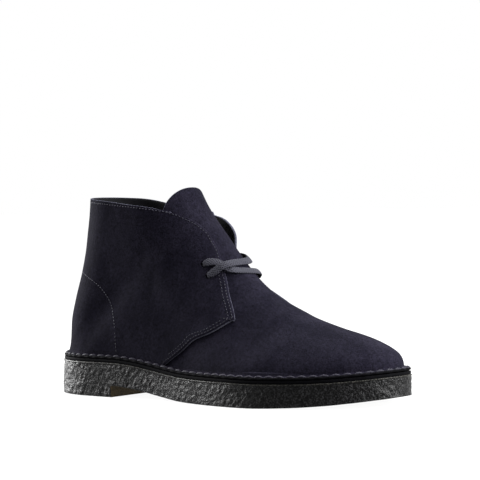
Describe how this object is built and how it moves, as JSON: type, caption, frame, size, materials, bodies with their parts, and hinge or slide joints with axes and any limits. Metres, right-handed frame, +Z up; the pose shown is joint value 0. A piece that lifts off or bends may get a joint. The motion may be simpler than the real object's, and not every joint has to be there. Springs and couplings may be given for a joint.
{
  "type": "chukka boot",
  "caption": "Right ankle-high lace-up boot in dark navy suede, stitched down over a flat crepe sole with a low heel lift.",
  "frame": {"origin": "middle of the boot's footprint, on the floor", "axes": "+X from the heel to the toe, +Y to the inner side of the foot, +Z up"},
  "size_m": [0.3, 0.1107, 0.1525],
  "materials": {
    "crepe": "coarse crumbly crepe, dark grey sides with mottling, natural amber underneath",
    "midsole": "matt black edge",
    "lining": "smooth black lining leather",
    "suede": "very dark navy suede with a soft blotchy nap",
    "lace": "flat woven cotton, charcoal"
  },
  "bodies": {
    "root": {"outsole": "crepe", "heel": "crepe", "midsole": "midsole", "insole": "lining", "upper": "suede", "tongue": "suede", "lace": "lace"}
  },
  "joints": []
}
